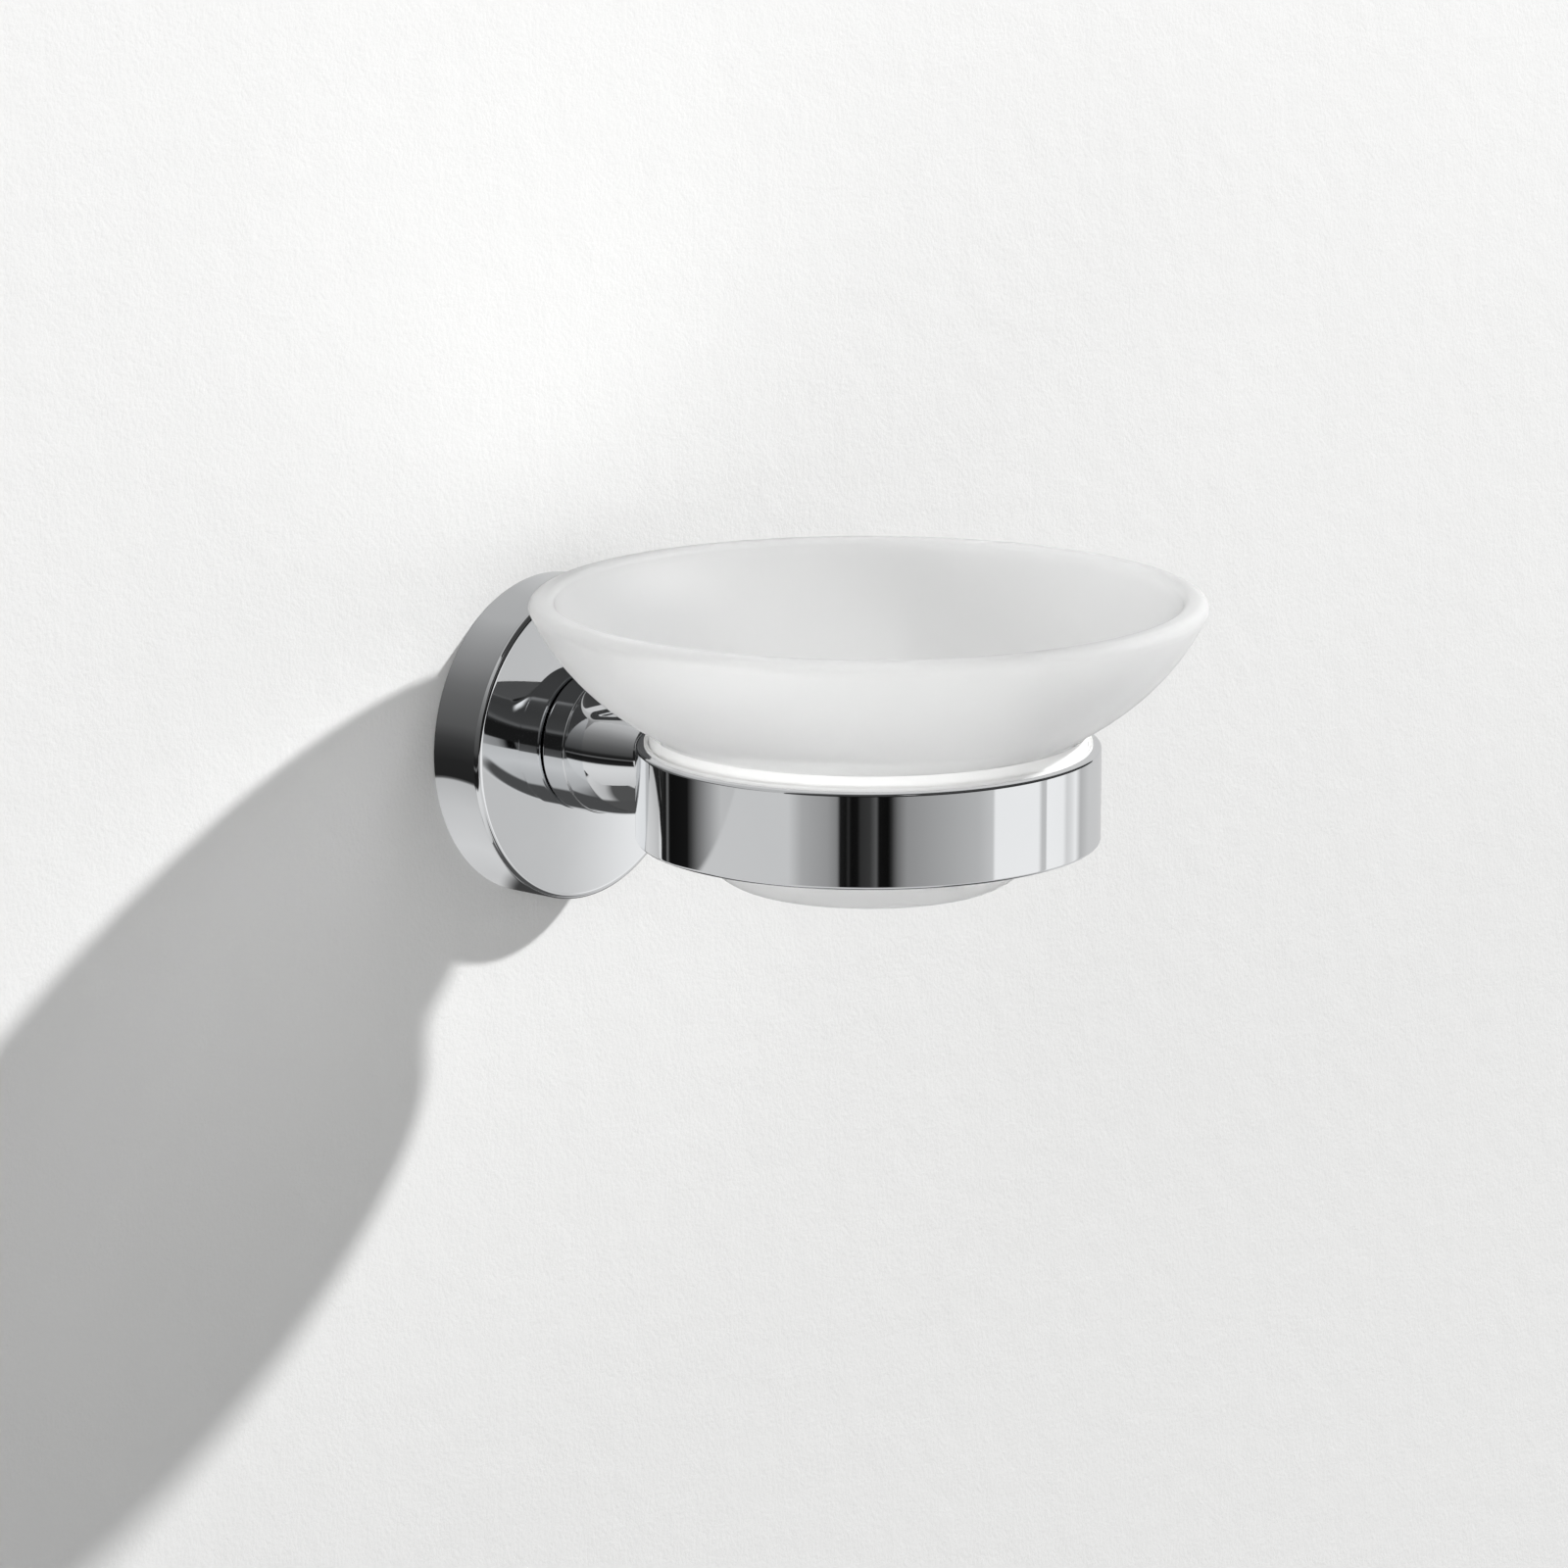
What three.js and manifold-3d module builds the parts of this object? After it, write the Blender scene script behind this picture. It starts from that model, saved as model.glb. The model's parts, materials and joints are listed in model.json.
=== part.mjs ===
// Wall-mounted soap dish: a chrome rosette and arm carry a flat hoop, and a frosted glass dish lifts out of it.
// Millimetres, +Z up. The wall is the plane Y = 0, the arm runs towards -Y, and the origin is the centre
// of the bracket's back. Profiles of turned pieces give (distance from the axis, place along the axis).
import * as THREE from "three";
import { mergeVertices } from "three/addons/utils/BufferGeometryUtils.js";
import Module from "manifold-3d";

const wasm = await Module();
wasm.setup();

// Clearances
const seatGap = 0.3;
const cutOverrun = 2;

// Flange
const flangeRadius = 27;
const flangeDepth = 10;
const flangeWall = 2;
const flangeFaceThickness = 2.2;
const flangeEdgeRadius = 0.9;
const flangeCornerRadius = 1.2;

// Wall bracket
const bracketBase = 2.5;
const bracketFaceGap = 0.8;
const bracketRimThickness = 3.4;
const bracketLeadIn = 0.6;
const bracketPocketDepth = 1;
const bracketPocketMargin = 1;
const bracketSlotFromRim = 5.3;
const bracketSlotSweep = THREE.MathUtils.degToRad(26);

// Wall screws
const wallScrewRadius = 2.1;
const wallScrewLength = 36;
const wallScrewTip = 5;
const wallScrewHeadRadius = 4;
const wallScrewHeadHeight = 2.4;
const wallScrewHeadEdge = 0.8;
const crossRecessLength = 4.4;
const crossRecessWidth = 1.1;
const crossRecessDepth = 1.5;

// Wall plugs
const plugLength = 35;
const plugWall = 1.5;
const plugRibDepth = 0.5;
const plugNose = 4;
const plugSplitWidth = 0.8;
const plugSplitLength = 20;
const plugRibs = 5;

// Grub screw
const grubRadius = 2;
const grubLength = 4;
const grubFromWall = 4.4;
const grubRecess = 0.3;
const grubTip = 1;
const grubSocketRadius = 1.15;
const grubSocketDepth = 1.8;

// Arm
const armReach = 23;
const armRadius = 11.8;
const armBandLength = 5;
const armRootChamfer = 0.4;
const armEdgeStep = 0.25;
const armNoseInset = 0.7;
const scoopRadius = 5;
const scoopBelowRing = 1.1;

// Arm screw, its washer and the locating pin
const armScrewRadius = 3;
const armScrewLength = 12;
const armScrewHeadRadius = 5;
const armScrewHeadHeight = 2.6;
const armScrewHeadEdge = 0.5;
const armScrewSocketRadius = 2.3;
const armScrewSocketDepth = 1.6;
const washerRadius = 6;
const washerThickness = 1;
const pinRadius = 1.25;
const pinLength = 6.5;
const pinRecess = 0.4;
const pinFromArmEdge = 3.6;

// Hoop
const ringRadius = 37.5;
const ringHeight = 15.4;
const ringWall = 1.8;
const ringEdgeRadius = 0.4;

// Hoop screw
const ringScrewRadius = 2;
const ringScrewLength = 9;
const ringScrewHeadRadius = 3.6;
const ringScrewHeadHeight = 1.4;
const ringScrewRecess = 0.15;
const ringScrewSocketRadius = 1.45;
const ringScrewSocketDepth = 1.3;

// Liner
const linerWall = 1.9;
const linerBottomInset = 0.6;
const linerRise = 2.6;
const linerLipOverhang = 0.4;
const linerEdgeRadius = 0.3;

// Glass dish
const dishFlareWidth = 19.6;
const dishRimAboveRing = 24.2;
const dishWall = 4.2;
const dishLipRadius = 1.2;
const dishFloorThickness = 5;
const dishFloorRadius = 18;
const dishFootRadius = 21;
const dishFootBelowRing = 6.8;
const dishFootLand = 3.2;
const dishFootRecess = 0.8;
const dishDrumTaper = 3.2;
const dishNeckFlare = 1.7;
const dishInnerFootShare = 0.5;
const dishFlareSlope = THREE.MathUtils.degToRad(62);
const dishRimSlope = THREE.MathUtils.degToRad(25);

// Facets round a full turn, and along a round edge or a curved stretch of profile
const hoopFacets = 60;
const flangeFacets = 60;
const armFacets = 48;
const fastenerFacets = 16;
const socketSides = 6;
const edgeSteps = 3;
const curveSteps = 6;

// Sizes that follow from the ones above
const flangeInner = flangeRadius - flangeWall;
const flangeInside = flangeDepth - flangeFaceThickness;
const bracketRadius = flangeInner - seatGap;
const bracketRimInner = bracketRadius - bracketRimThickness;
const bracketSlotRadius = bracketRimInner - bracketSlotFromRim;
const bracketSlotHalfWidth = wallScrewRadius + seatGap;
const armScrewHole = armScrewRadius + seatGap;
const pinHole = pinRadius + seatGap;
const pinBelowAxis = armRadius - pinFromArmEdge;
const ringCentreFromWall = flangeDepth + armReach + ringRadius;
const ringTop = ringHeight / 2;
const ringInner = ringRadius - ringWall;
const ringScrewHole = ringScrewRadius + seatGap;
const linerRadius = ringInner - seatGap;
const dishDrumTopRadius = linerRadius - linerWall - seatGap;
const dishDrumBottomRadius = dishDrumTopRadius - dishDrumTaper;
const dishNeckRadius = dishDrumTopRadius + dishNeckFlare;
const dishRimRadius = dishNeckRadius + dishFlareWidth;
const neckHeight = ringTop + linerRise;
const drumSlope = Math.atan2(dishDrumTopRadius - dishDrumBottomRadius, ringHeight);
const rightAngle = Math.PI / 2;

// Materials
const chrome = new THREE.MeshStandardMaterial({ color: 0xd9dbde, roughness: 0.06, metalness: 1 });
const zinc = new THREE.MeshStandardMaterial({ color: 0xa9abad, roughness: 0.45, metalness: 1 });
const steel = new THREE.MeshStandardMaterial({ color: 0xb9bbbf, roughness: 0.3, metalness: 1 });
const nylon = new THREE.MeshStandardMaterial({ color: 0x9ea3a6, roughness: 0.6, metalness: 0 });
const whitePlastic = new THREE.MeshStandardMaterial({ color: 0xf7f7f5, roughness: 0.35, metalness: 0 });
const frostedGlass = new THREE.MeshStandardMaterial({ color: 0xe6ebe8, roughness: 0.5, metalness: 0 });

// Profiles

const point = (fromAxis, along) => new THREE.Vector2(fromAxis, along);

// An arc about a centre, with its angles measured from the direction away from the axis.
function arc(centre, radius, startAngle, endAngle, steps = edgeSteps) {
  return Array.from({ length: steps + 1 }, (_, i) => {
    const angle = startAngle + ((endAngle - startAngle) * i) / steps;
    return point(centre.x + radius * Math.cos(angle), centre.y + radius * Math.sin(angle));
  });
}

// A smooth bend that leaves one point and reaches the next at the given angles from the axis.
function bend(start, startSlope, end, endSlope, steps = curveSteps) {
  const leaving = point(Math.sin(startSlope), Math.cos(startSlope));
  const arriving = point(Math.sin(endSlope), Math.cos(endSlope));
  const reach = end.clone().sub(start).cross(arriving) / leaving.cross(arriving);
  const corner = start.clone().addScaledVector(leaving, reach);
  return new THREE.QuadraticBezierCurve(start, corner, end).getPoints(steps);
}

// Solids

// A closed surface as a solid, with its faces turned outwards.
function solid(geometry) {
  geometry.deleteAttribute("normal");
  geometry.deleteAttribute("uv");
  const merged = mergeVertices(geometry);
  const corners = merged.index.array;
  const triangles = [];
  for (let i = 0; i < corners.length; i += 3) {
    const [a, b, c] = corners.subarray(i, i + 3);
    if (a !== b && b !== c && c !== a) triangles.push(a, b, c);
  }
  const close = () =>
    new wasm.Manifold(
      new wasm.Mesh({
        numProp: 3,
        vertProperties: merged.attributes.position.array,
        triVerts: new Uint32Array(triangles),
      }),
    );
  const made = close();
  if (made.volume() > 0) return made;
  triangles.reverse();
  return close();
}

// A profile turned about the arm's axis, Y.
const turned = (profile, facets) => solid(new THREE.LatheGeometry(profile, facets));

// A profile turned about the hoop's upright axis, Z.
const turnedUpright = (profile, facets) => solid(new THREE.LatheGeometry(profile, facets).rotateX(rightAngle));

const rodProfile = (radius, from, to) => [point(0, from), point(radius, from), point(radius, to), point(0, to)];

// A round cutter along Y, shifted sideways and up.
function rod(radius, from, to, facets, x = 0, z = 0) {
  return solid(new THREE.LatheGeometry(rodProfile(radius, from, to), facets).translate(x, 0, z));
}

// A hexagonal cutter along Y.
const hexRod = (radius, from, to) => turned(rodProfile(radius, from, to), socketSides);

function piece(name, shape, material) {
  const cut = shape.getMesh();
  const geometry = new THREE.BufferGeometry();
  geometry.setAttribute("position", new THREE.BufferAttribute(cut.vertProperties, cut.numProp));
  geometry.setIndex(new THREE.BufferAttribute(cut.triVerts, 1));
  geometry.computeVertexNormals();
  const mesh = new THREE.Mesh(geometry, material);
  mesh.name = name;
  return mesh;
}

function group(x, y, z, ...members) {
  const made = new THREE.Group();
  made.position.set(x, y, z);
  made.add(...members);
  return made;
}

// Flange: a deep turned cup whose mouth lies on the wall.
function makeFlange() {
  const outerEdge = point(flangeRadius - flangeEdgeRadius, flangeEdgeRadius - flangeDepth);
  const innerCorner = point(flangeInner - flangeCornerRadius, flangeCornerRadius - flangeInside);
  const cup = turned(
    [
      point(flangeInner, 0),
      point(flangeRadius, 0),
      ...arc(outerEdge, flangeEdgeRadius, 0, -rightAngle),
      point(armScrewHole, -flangeDepth),
      point(armScrewHole, -flangeInside),
      ...arc(innerCorner, flangeCornerRadius, -rightAngle, 0),
      point(flangeInner, 0),
    ],
    flangeFacets,
  );
  const pinCut = rod(pinHole, -flangeDepth - cutOverrun, cutOverrun - flangeInside, fastenerFacets, 0, -pinBelowAxis);
  const grubProfile = rodProfile(grubRadius + seatGap, -flangeRadius - cutOverrun, cutOverrun - flangeInner);
  const grubCut = new THREE.LatheGeometry(grubProfile, fastenerFacets);
  grubCut.rotateX(rightAngle).translate(0, -grubFromWall, 0);
  return cup.subtract(pinCut).subtract(solid(grubCut));
}

// Wall bracket: a rimmed cast disc with two curved slots, a pocket that clears the arm screw's head,
// and a dimple for the grub screw's tip.
function makeBracket() {
  const rimTop = bracketFaceGap - flangeInside;
  const pocketRadius = armScrewHeadRadius + bracketPocketMargin;
  const disc = turned(
    [
      point(0, 0),
      point(bracketRadius, 0),
      point(bracketRadius, rimTop + bracketLeadIn),
      point(bracketRadius - bracketLeadIn, rimTop),
      point(bracketRimInner, rimTop),
      point(bracketRimInner, -bracketBase),
      point(pocketRadius, -bracketBase),
      point(pocketRadius, bracketPocketDepth - bracketBase),
      point(0, bracketPocketDepth - bracketBase),
    ],
    flangeFacets,
  );
  const tipAt = flangeRadius - grubRecess - grubLength;
  const dimple = new THREE.LatheGeometry(
    [
      point(0, -bracketRadius - cutOverrun),
      point(grubRadius + seatGap, -bracketRadius - cutOverrun),
      point(grubRadius + seatGap, -tipAt - grubTip),
      point(grubRadius + seatGap - grubTip, seatGap - tipAt),
      point(0, seatGap - tipAt),
    ],
    fastenerFacets,
  );
  dimple.rotateX(rightAngle).translate(0, -grubFromWall, 0);
  return [0, Math.PI].reduce((rest, side) => rest.subtract(bracketSlot(side)), disc.subtract(solid(dimple)));
}

// A curved slot with round ends, centred on the given direction, through the bracket's base.
function bracketSlot(direction) {
  const start = direction - bracketSlotSweep / 2;
  const end = direction + bracketSlotSweep / 2;
  const outline = new THREE.Shape();
  const endX = bracketSlotRadius * Math.cos(end);
  const endZ = bracketSlotRadius * Math.sin(end);
  const startX = bracketSlotRadius * Math.cos(start);
  const startZ = bracketSlotRadius * Math.sin(start);
  outline.absarc(0, 0, bracketSlotRadius + bracketSlotHalfWidth, start, end, false);
  outline.absarc(endX, endZ, bracketSlotHalfWidth, end, end + Math.PI, false);
  outline.absarc(0, 0, bracketSlotRadius - bracketSlotHalfWidth, end, start, true);
  outline.absarc(startX, startZ, bracketSlotHalfWidth, start + Math.PI, start + 2 * Math.PI, false);
  const depth = bracketBase + 2 * cutOverrun;
  const cutter = new THREE.ExtrudeGeometry(outline, { depth, bevelEnabled: false, curveSegments: edgeSteps * 2 });
  return solid(cutter.rotateX(rightAngle).translate(0, cutOverrun, 0));
}

// Wall screw: its head's underside is at its own origin, and its shank runs into the wall.
function makeWallScrew() {
  const blank = turned(
    [
      point(0, wallScrewLength),
      point(wallScrewRadius, wallScrewLength - wallScrewTip),
      point(wallScrewRadius, 0),
      point(wallScrewHeadRadius, 0),
      point(wallScrewHeadRadius, -wallScrewHeadEdge),
      ...bend(
        point(wallScrewHeadRadius, -wallScrewHeadEdge),
        0,
        point(0, -wallScrewHeadHeight),
        rightAngle,
        edgeSteps,
      ).slice(1),
    ],
    fastenerFacets,
  );
  const recess = (width, height) =>
    solid(
      new THREE.BoxGeometry(width, crossRecessDepth + cutOverrun, height).translate(
        0,
        (crossRecessDepth - cutOverrun) / 2 - wallScrewHeadHeight,
        0,
      ),
    );
  return blank
    .subtract(recess(crossRecessLength, crossRecessWidth))
    .subtract(recess(crossRecessWidth, crossRecessLength));
}

// Wall plug: a ribbed sleeve, split from its tip, with its mouth at its own origin.
function makeWallPlug() {
  const bore = wallScrewRadius + seatGap;
  const plugRadius = bore + plugWall;
  const pitch = (plugLength - plugNose) / plugRibs;
  const ribs = Array.from({ length: plugRibs }, (_, i) => [
    point(plugRadius, i * pitch),
    point(plugRadius - plugRibDepth, (i + 1) * pitch),
  ]).flat();
  const sleeve = turned(
    [point(bore, 0), ...ribs, point(bore + plugWall / 2, plugLength), point(bore, plugLength), point(bore, 0)],
    fastenerFacets,
  );
  const split = new THREE.BoxGeometry(plugSplitWidth, plugSplitLength + cutOverrun, 2 * (plugRadius + cutOverrun));
  split.translate(0, plugLength + (cutOverrun - plugSplitLength) / 2, 0);
  return sleeve.subtract(solid(split));
}

// Grub screw: its socket end is at its own origin, and its tip points along +Y before it is turned upright.
function makeGrubScrew() {
  const blank = turned(
    [
      point(0, 0),
      point(grubRadius, 0),
      point(grubRadius, grubLength - grubTip),
      point(grubRadius - grubTip, grubLength),
      point(0, grubLength),
    ],
    fastenerFacets,
  );
  return blank.subtract(hexRod(grubSocketRadius, -cutOverrun, grubSocketDepth));
}

// Arm: a round band at the flange, then an ogive body, scooped on top, whose nose is hollowed to fit the hoop.
function makeArm() {
  const bodyStart = armBandLength + armEdgeStep;
  const bodyRadius = armRadius - armEdgeStep;
  const run = armReach - bodyStart;
  const drop = bodyRadius - ringTop + armNoseInset;
  const ogiveRadius = (run * run + drop * drop) / (2 * drop);
  const noseAngle = -Math.asin((run + cutOverrun) / ogiveRadius);
  const ogive = arc(point(bodyRadius - ogiveRadius, -bodyStart), ogiveRadius, 0, noseAngle, 2 * curveSteps);
  const body = turned(
    [
      point(0, -seatGap),
      point(armRadius - armRootChamfer, -seatGap),
      point(armRadius, -seatGap - armRootChamfer),
      point(armRadius, -armBandLength),
      ...ogive,
      point(0, -armReach - cutOverrun),
    ],
    armFacets,
  );
  const hoop = new THREE.LatheGeometry(rodProfile(ringRadius + seatGap, -armRadius, armRadius), hoopFacets);
  hoop.rotateX(rightAngle).translate(0, -armReach - ringRadius, 0);
  const armScrewDepth = armScrewLength - washerThickness - flangeFaceThickness - 2 * seatGap;
  const pinDepth = pinLength + pinRecess - flangeFaceThickness;
  const ringScrewDepth = ringScrewLength + ringScrewRecess - ringWall;
  return body
    .subtract(armScoop())
    .subtract(solid(hoop))
    .subtract(rod(armScrewHole, -armScrewDepth - seatGap, cutOverrun, fastenerFacets))
    .subtract(rod(pinHole, -pinDepth - seatGap, cutOverrun, fastenerFacets, 0, -pinBelowAxis))
    .subtract(rod(ringScrewHole, -armReach - cutOverrun, ringScrewDepth + seatGap - armReach, fastenerFacets));
}

// The cutter of the scoop: its side view, hollow at the band's edge and level to the hoop, drawn across the arm.
function armScoop() {
  const start = -armBandLength;
  const end = -armReach - cutOverrun;
  const top = armRadius + cutOverrun;
  const floor = ringTop - scoopBelowRing;
  const side = new THREE.Shape();
  side.moveTo(start, top);
  side.absarc(start - scoopRadius, floor + scoopRadius, scoopRadius, 0, -rightAngle, true);
  side.lineTo(end, floor);
  side.lineTo(end, top);
  const width = 2 * (armRadius + cutOverrun);
  const cutter = new THREE.ExtrudeGeometry(side, { depth: width, bevelEnabled: false, curveSegments: curveSteps });
  cutter.translate(0, 0, -width / 2);
  const alongArm = new THREE.Vector3(0, 1, 0);
  const up = new THREE.Vector3(0, 0, 1);
  const across = new THREE.Vector3(1, 0, 0);
  return solid(cutter.applyMatrix4(new THREE.Matrix4().makeBasis(alongArm, up, across)));
}

// Arm screw: its head's underside is at its own origin, and its shank runs towards -Y.
function makeArmScrew() {
  const blank = turned(
    [
      point(0, -armScrewLength),
      point(armScrewRadius, -armScrewLength),
      point(armScrewRadius, 0),
      point(armScrewHeadRadius, 0),
      point(armScrewHeadRadius, armScrewHeadHeight - armScrewHeadEdge),
      point(armScrewHeadRadius - armScrewHeadEdge, armScrewHeadHeight),
      point(0, armScrewHeadHeight),
    ],
    fastenerFacets,
  );
  const socketFloor = armScrewHeadHeight - armScrewSocketDepth;
  return blank.subtract(hexRod(armScrewSocketRadius, socketFloor, armScrewHeadHeight + cutOverrun));
}

function makeWasher() {
  return turned(
    [
      point(armScrewHole, 0),
      point(washerRadius, 0),
      point(washerRadius, washerThickness),
      point(armScrewHole, washerThickness),
      point(armScrewHole, 0),
    ],
    fastenerFacets,
  );
}

// Hoop: a flat band with rounded edges and a countersunk hole at the arm.
function makeRing() {
  const outer = ringRadius - ringEdgeRadius;
  const inner = ringInner + ringEdgeRadius;
  const top = ringTop - ringEdgeRadius;
  const corners = [
    [outer, -top, -rightAngle],
    [outer, top, 0],
    [inner, top, rightAngle],
    [inner, -top, Math.PI],
  ];
  const edges = corners.flatMap(([x, y, angle]) => arc(point(x, y), ringEdgeRadius, angle, angle + rightAngle, 2));
  const band = turnedUpright([...edges, edges[0]], hoopFacets);
  const headRadius = ringScrewHeadRadius + seatGap;
  const countersink = turned(
    [
      point(0, ringInner - cutOverrun),
      point(headRadius, ringInner - cutOverrun),
      point(headRadius, ringInner),
      point(ringScrewHole, ringInner + ringScrewHeadHeight),
      point(ringScrewHole, ringRadius + cutOverrun),
      point(0, ringRadius + cutOverrun),
    ],
    fastenerFacets,
  );
  return band.subtract(countersink);
}

// Hoop screw: its head's face is at its own origin, and its shank runs towards +Y into the arm.
function makeRingScrew() {
  const blank = turned(
    [
      point(0, 0),
      point(ringScrewHeadRadius, 0),
      point(ringScrewRadius, ringScrewHeadHeight),
      point(ringScrewRadius, ringScrewLength),
      point(0, ringScrewLength),
    ],
    fastenerFacets,
  );
  return blank.subtract(hexRod(ringScrewSocketRadius, -cutOverrun, ringScrewSocketDepth));
}

// The dish's outside from the hoop's top edge to its neck, and the liner's seat, which runs parallel to it.
function seatCurve(clearance) {
  return bend(
    point(dishDrumTopRadius + clearance, ringTop - clearance),
    drumSlope,
    point(dishNeckRadius + clearance, neckHeight - clearance),
    dishFlareSlope,
    edgeSteps + 1,
  );
}

// Liner: a plastic sleeve inside the hoop, whose lip rests on the hoop's top edge and flares with the glass.
function makeLiner() {
  const bottom = linerBottomInset - ringTop;
  const lipTop = neckHeight - seatGap;
  const lipRadius = ringInner + linerLipOverhang;
  const lipEdge = point(lipRadius - linerEdgeRadius, lipTop - linerEdgeRadius);
  const seat = seatCurve(seatGap);
  return turnedUpright(
    [
      point(seat[0].x, bottom),
      point(linerRadius, bottom),
      point(linerRadius, ringTop + seatGap),
      point(lipRadius, ringTop + seatGap),
      ...arc(lipEdge, linerEdgeRadius, 0, rightAngle, 2),
      ...seat.toReversed(),
      point(seat[0].x, bottom),
    ],
    hoopFacets,
  );
}

// Glass dish: a drum with a foot ring that stands in the liner, and a bowl that flares above it.
function makeDish() {
  const foot = -ringTop - dishFootBelowRing;
  const rim = ringTop + dishRimAboveRing;
  const floor = foot + dishFloorThickness;
  const recessRadius = dishFootRadius - dishFootLand;
  const neck = point(dishNeckRadius, neckHeight);
  const flareEnd = point(dishRimRadius, rim - dishLipRadius);
  const rimInner = dishRimRadius - dishWall;
  const innerNeck = point(
    dishNeckRadius - dishWall * Math.cos(dishFlareSlope),
    neckHeight + dishWall * Math.sin(dishFlareSlope),
  );
  const drumInnerTop = point(dishDrumTopRadius - dishWall, ringTop);
  const drumInnerFoot = point(dishDrumBottomRadius - dishWall, -ringTop * dishInnerFootShare);
  return turnedUpright(
    [
      point(0, foot + dishFootRecess),
      point(recessRadius - dishFootRecess, foot + dishFootRecess),
      point(recessRadius, foot),
      ...bend(point(dishFootRadius, foot), rightAngle, point(dishDrumBottomRadius, -ringTop), drumSlope),
      ...seatCurve(0).slice(0, -1),
      ...bend(neck, dishFlareSlope, flareEnd, dishRimSlope),
      ...arc(point(dishRimRadius - dishLipRadius, rim - dishLipRadius), dishLipRadius, 0, rightAngle).slice(1),
      ...arc(point(rimInner + dishLipRadius, rim - dishLipRadius), dishLipRadius, rightAngle, Math.PI),
      ...bend(innerNeck, dishFlareSlope, point(rimInner, rim - dishLipRadius), dishRimSlope).toReversed().slice(1),
      ...bend(drumInnerTop, drumSlope, innerNeck, dishFlareSlope, edgeSteps).toReversed().slice(1),
      ...bend(point(dishFloorRadius, floor), rightAngle, drumInnerFoot, drumSlope, curveSteps - 2).toReversed(),
      point(0, floor),
    ],
    hoopFacets,
  );
}

// Assembly

function makeWallSide() {
  const headSeat = -bracketBase - seatGap;
  const screws = [
    ["left", -bracketSlotRadius],
    ["right", bracketSlotRadius],
  ].flatMap(([side, x]) => [
    group(x, headSeat, 0, piece("wall_screw_" + side, makeWallScrew(), steel)),
    group(x, seatGap, 0, piece("wall_plug_" + side, makeWallPlug(), nylon)),
  ]);
  const grub = group(0, -grubFromWall, grubRecess - flangeRadius, piece("grub_screw", makeGrubScrew(), steel));
  grub.rotation.x = rightAngle;
  return group(
    0,
    0,
    0,
    piece("flange", makeFlange(), chrome),
    piece("wall_bracket", makeBracket(), zinc),
    grub,
    ...screws,
  );
}

function makeArmSide() {
  const washerSeat = flangeFaceThickness + seatGap;
  const headSeat = washerSeat + washerThickness + seatGap;
  const pinStart = flangeFaceThickness - pinRecess;
  return group(
    0,
    -flangeDepth,
    0,
    piece("arm", makeArm(), chrome),
    group(0, headSeat, 0, piece("arm_screw", makeArmScrew(), steel)),
    group(0, washerSeat, 0, piece("arm_washer", makeWasher(), steel)),
    group(
      0,
      pinStart,
      -pinBelowAxis,
      piece("locating_pin", rod(pinRadius, -pinLength, 0, fastenerFacets), steel),
    ),
  );
}

function makeHoopSide() {
  return group(
    0,
    -ringCentreFromWall,
    0,
    piece("ring_band", makeRing(), chrome),
    group(0, ringInner + ringScrewRecess, 0, piece("ring_screw", makeRingScrew(), steel)),
    piece("liner", makeLiner(), whitePlastic),
    piece("glass_dish", makeDish(), frostedGlass),
  );
}

const soapDish = group(0, 0, 0, makeWallSide(), makeArmSide(), makeHoopSide());
soapDish.name = "soap_dish";

export default soapDish;
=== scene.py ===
# %% [markdown]
# # A chrome and frosted glass soap dish on a bathroom wall
#
# The real object is a short chrome arm on a round wall flange. The arm ends in a flat chrome hoop, a white
# plastic liner sits inside the hoop, and a frosted glass dish stands in the liner and lifts straight out.
# This lesson dresses the measured frame of that object: it turns finer shapes for the pieces that show,
# gives every piece a finish, and lights the whole as a small studio picture.

# %% Load the measured frame
import json
import math

import bmesh
import bpy
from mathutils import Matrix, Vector


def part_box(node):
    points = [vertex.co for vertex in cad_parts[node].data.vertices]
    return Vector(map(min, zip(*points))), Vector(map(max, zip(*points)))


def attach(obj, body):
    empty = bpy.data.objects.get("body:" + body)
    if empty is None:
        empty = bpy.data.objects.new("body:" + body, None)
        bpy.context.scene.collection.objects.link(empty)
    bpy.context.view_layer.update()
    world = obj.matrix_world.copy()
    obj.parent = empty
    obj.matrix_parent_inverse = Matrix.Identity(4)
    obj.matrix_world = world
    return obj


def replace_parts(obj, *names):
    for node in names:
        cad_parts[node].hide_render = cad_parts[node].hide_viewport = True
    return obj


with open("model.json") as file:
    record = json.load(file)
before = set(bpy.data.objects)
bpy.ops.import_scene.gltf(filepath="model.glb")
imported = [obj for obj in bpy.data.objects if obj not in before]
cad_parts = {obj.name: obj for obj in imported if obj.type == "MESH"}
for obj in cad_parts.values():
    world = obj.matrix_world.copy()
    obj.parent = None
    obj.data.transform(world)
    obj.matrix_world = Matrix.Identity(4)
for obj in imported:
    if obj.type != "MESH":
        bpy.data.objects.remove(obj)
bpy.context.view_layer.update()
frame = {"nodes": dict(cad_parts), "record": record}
print("frame:", ", ".join(sorted(frame["nodes"])))

# %% [markdown]
# The frame's pieces already stand in the right places, so the main sizes of the flange, the hoop and the
# glass are read from them and not typed again. Work is done in millimetres, the unit of a drawing, and turned
# into metres at the end.

# %% Read the sizes from the frame
MM = 0.001


def span(node):
    """Lowest and highest corner of a frame piece, in millimetres."""
    low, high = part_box(node)
    return low / MM, high / MM


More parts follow.
